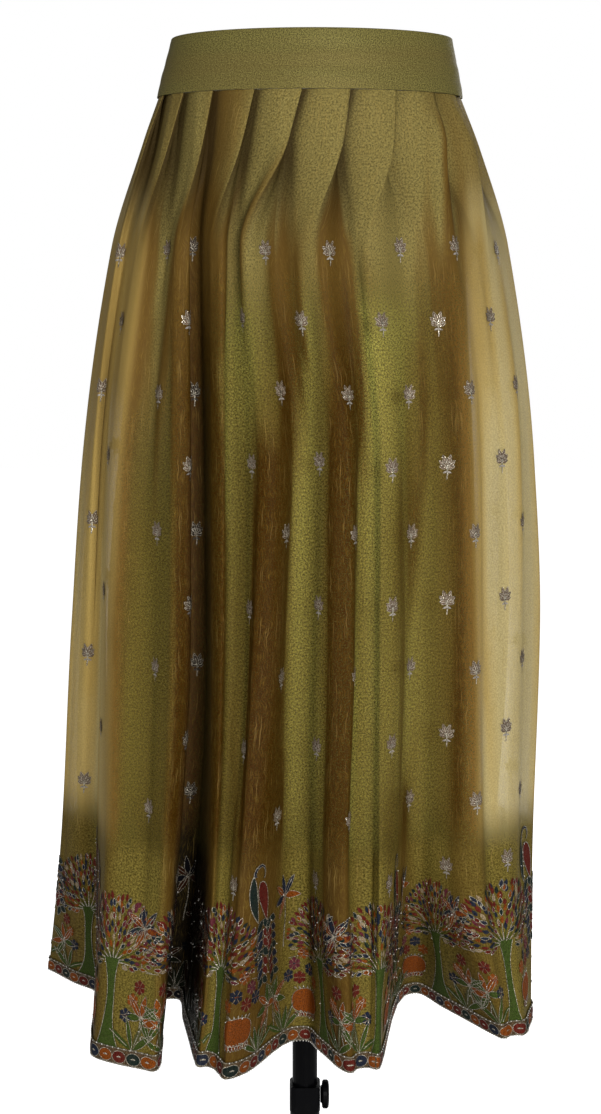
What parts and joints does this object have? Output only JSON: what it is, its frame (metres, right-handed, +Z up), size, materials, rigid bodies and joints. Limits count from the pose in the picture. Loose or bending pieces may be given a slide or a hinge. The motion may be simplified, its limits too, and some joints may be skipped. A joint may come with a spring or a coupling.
{
  "type": "lehenga skirt on a dress-form stand",
  "caption": "Full-length pleated sheer lehenga skirt with an opaque lining, plain waistband and embroidered border, on a smooth skirt form with an adjustable pole stand.",
  "frame": {"origin": "centre of the underside of the stand's base, on the pole's axis", "axes": "+Z up along the pole; the skirt's front faces -Y; +X is the viewer's right"},
  "size_m": [0.5503, 0.4288, 1.412],
  "materials": {
    "organza": "sheer golden-brown organza",
    "lining_tissue": "olive green tissue with a fine glint",
    "band_tissue": "olive gold tissue, matt",
    "hem_trim": "embroidered band",
    "form_cover": "plain jersey over a smooth form",
    "black_metal": "satin black",
    "black_plastic": "matt black"
  },
  "bodies": {
    "stand": {"base": "black_metal", "lower_tube": "black_metal", "collar": "black_plastic"},
    "knob": {"collar_knob": "black_plastic"},
    "upper": {"pole": "black_metal", "form": "form_cover", "skirt_front": "organza", "skirt_back": "organza", "lining_front": "lining_tissue", "lining_back": "lining_tissue", "waistband_front": "band_tissue", "waistband_back": "band_tissue", "hem_trim_front": "hem_trim", "hem_trim_back": "hem_trim"}
  },
  "joints": [
    {"name": "height_slide", "type": "slide", "parent": "stand", "child": "upper", "axis": [0, 0, 1], "range_m": [-0.045, 0.1]},
    {"name": "clamp_knob", "type": "hinge", "parent": "stand", "child": "knob", "pos_m": [0.0171, 0, 0.273], "axis": [1, 0, 0], "range_deg": [-180, 180]}
  ]
}
